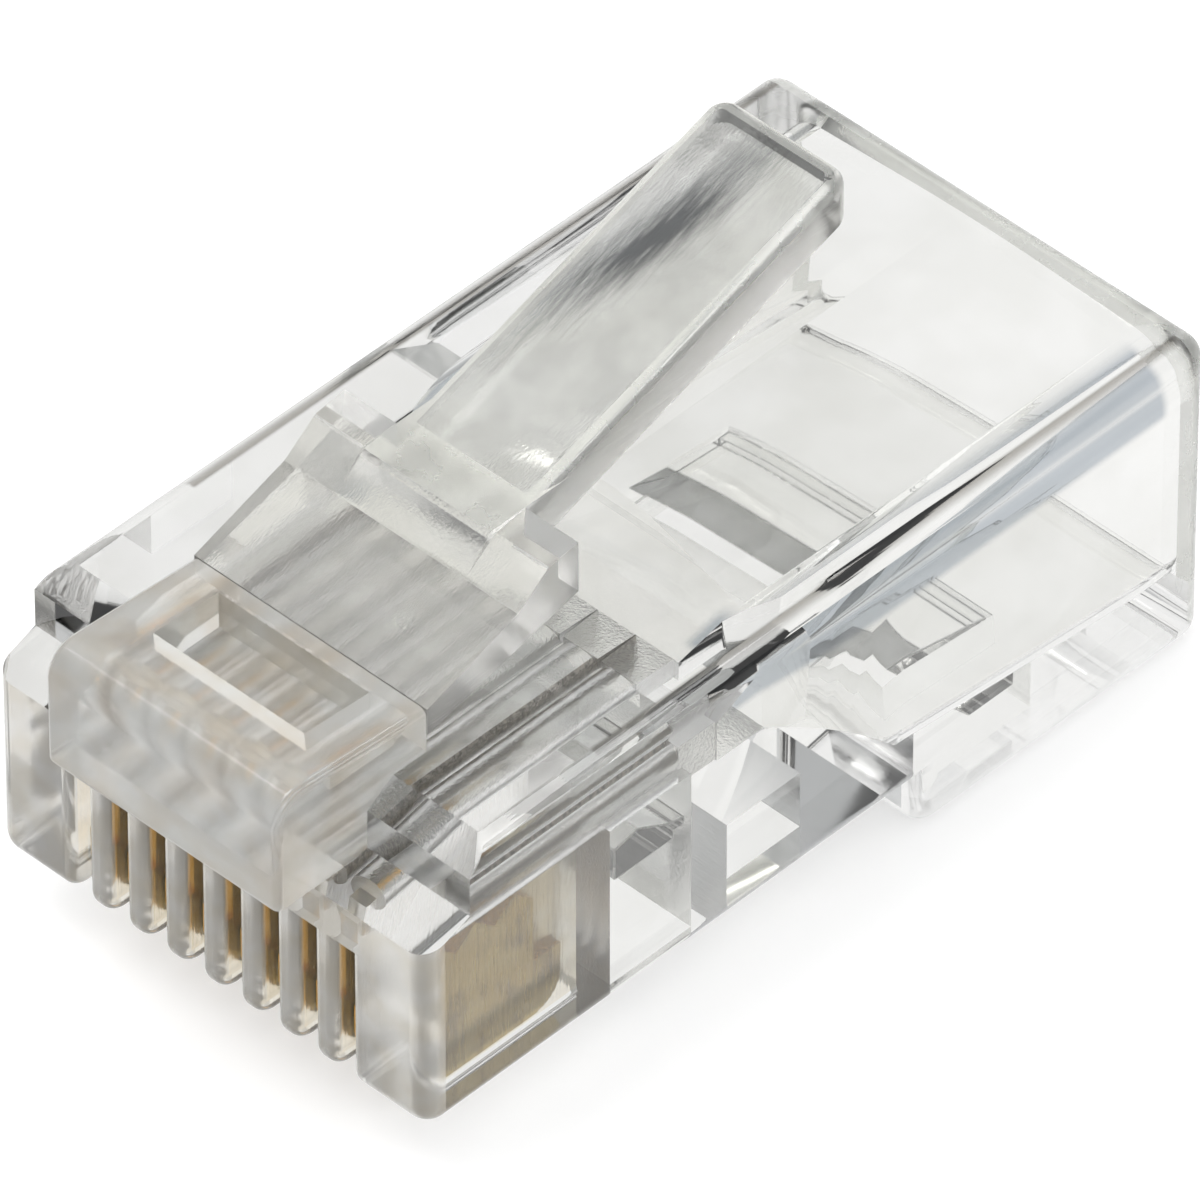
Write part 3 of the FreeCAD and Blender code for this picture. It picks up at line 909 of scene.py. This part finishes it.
FINISHES: dict[Region, ClearPolycarbonate] = {
    # a bright tool gives walls like glass; two painted reflection bands make the side walls greyer and
    # browner
    Region.POLISHED: ClearPolycarbonate(
        "Polished clear polycarbonate",
        painted_reflection_bands=(PaintedReflectionBand((4.0, 9.0, 6.05), (5.0, 21.0, 6.70), "#8C96A1", 0.14),
               PaintedReflectionBand((5.3, 5.0, 7.82), (6.0, 21.6, 8.02), "#5E574B", 0.05))),
    # upright draw lines spread the light, so the nose looks frosted
    Region.SATIN: ClearPolycarbonate(
        "Satin-tool clear polycarbonate", tint="#F7F7F3", shade="#EEE7DB", cloud_mm=1.3, roughness=0.12,
        haze=0.26, grain_mm=0.06, grain_depth_mm=0.002, stretch=(1.0, 1.0, 0.12),
        marks=(RingMark(0.10, 7.95, 0.45, 0.55), RingMark(2.70, 8.85, 0.26, 0.34))),
    # thick plastic that cooled slowly looks cloudy and warm
    Region.MILKY: ClearPolycarbonate(
        "Flow-clouded clear polycarbonate", tint="#FAF8F2", shade="#F1EBDD", cloud_mm=0.9, roughness=0.12,
        haze=0.27, grain_mm=0.08, grain_depth_mm=0.0006, stretch=(1.0, 1.0, 0.15)),
    # upright lines from the cutting wire break the gold behind into streaks
    Region.LINED: ClearPolycarbonate(
        "Wire-eroded clear polycarbonate", tint="#F8F1E0", shade="#F0E4CA", cloud_mm=0.7, roughness=0.10,
        haze=0.13, grain_mm=0.07, grain_depth_mm=0.010, stretch=(1.0, 1.0, 0.03)),
    # fine pits sparkle and blur what lies behind
    Region.ERODED: ClearPolycarbonate(
        "Spark-eroded clear polycarbonate", tint="#FDFCFA", roughness=0.16, haze=0.12,
        grain_mm=0.06, grain_depth_mm=0.015),
    # thin and rough, and painted dark: painted shade where little light comes straight through
    Region.WEB_PAINTED_SHADE: ClearPolycarbonate(
        "Spark-eroded web with painted shade", tint="#B4ACA0", shade="#5C564D", cloud_mm=0.10, roughness=0.3,
        haze=0.25, grain_mm=0.06, grain_depth_mm=0.02),
    # lines along the bar spread light up and down; the wall's grey is painted shade
    Region.GROUND_PAINTED_SHADE: ClearPolycarbonate(
        "Ground-tool polycarbonate with painted shade", tint="#C0C2C2", shade="#9A9C9C", cloud_mm=0.8, roughness=0.12,
        haze=0.05, grain_mm=0.06, grain_depth_mm=0.006, stretch=(0.05, 1.0, 1.0)),
    # an even frost makes the rounds glow softly
    Region.RIM: ClearPolycarbonate(
        "Vapour-blasted clear polycarbonate", tint="#F4F5F0", shade="#ECEDE7", roughness=0.20, haze=0.20,
        grain_mm=0.06, grain_depth_mm=0.003),
    # faint lines along the latch, which stays nearly clear
    Region.DRAWN: ClearPolycarbonate(
        "Stoned clear polycarbonate", tint="#FBFAF7", shade="#F4F3EE", roughness=0.05, haze=0.07,
        grain_mm=0.05, grain_depth_mm=0.003, stretch=(1.0, 0.04, 1.0)),
    # lengthwise brushing, with a painted reflection: a grey tint and a long dark streak
    Region.PAINTED_REFLECTION: ClearPolycarbonate(
        "Brushed polycarbonate with painted reflection", tint="#DBDCDB", shade="#C6C7C6", cloud_mm=1.2, roughness=0.06,
        haze=0.05, grain_mm=0.05, grain_depth_mm=0.004, stretch=(1.0, 0.05, 1.0), painted_streak=PaintedReflectionStreak()),
    # deep file marks look dull; their grey is painted shade
    Region.COARSE_PAINTED_SHADE: ClearPolycarbonate(
        "Rasped polycarbonate with painted shade", tint="#C9C7C0", shade="#8E8B83", cloud_mm=0.25, roughness=0.25,
        haze=0.15, grain_mm=0.07, grain_depth_mm=0.012),
    # the small rounds catch the light as pale lines
    Region.GLINT: ClearPolycarbonate(
        "Broken edge of polycarbonate", tint="#FFFFFF", shade="#F6F6F4", roughness=0.20, haze=0.35),
}


def main() -> None:
    """Build the dressed plug and its studio, piece by piece."""
    logging.basicConfig(level=logging.INFO, format="%(message)s")
    finishes = {region: finish.build() for region, finish in FINISHES.items()}
    mouldings = [Housing(finishes=finishes), Latch(finishes=finishes)]
    for node in ("conductor_clamp", "jacket_clamp"):
        mouldings.append(Clamp(node=node, body=node, finishes=finishes))
    for moulding in mouldings:
        piece = moulding.build()
        LOG.info("%s: %d faces", moulding.node, len(piece.data.polygons))
    blades = ContactBlades(GoldPlate().build()).build()
    LOG.info("contact blades: %d", len(blades))
    Studio().build()


if __name__ == "__main__":
    main()
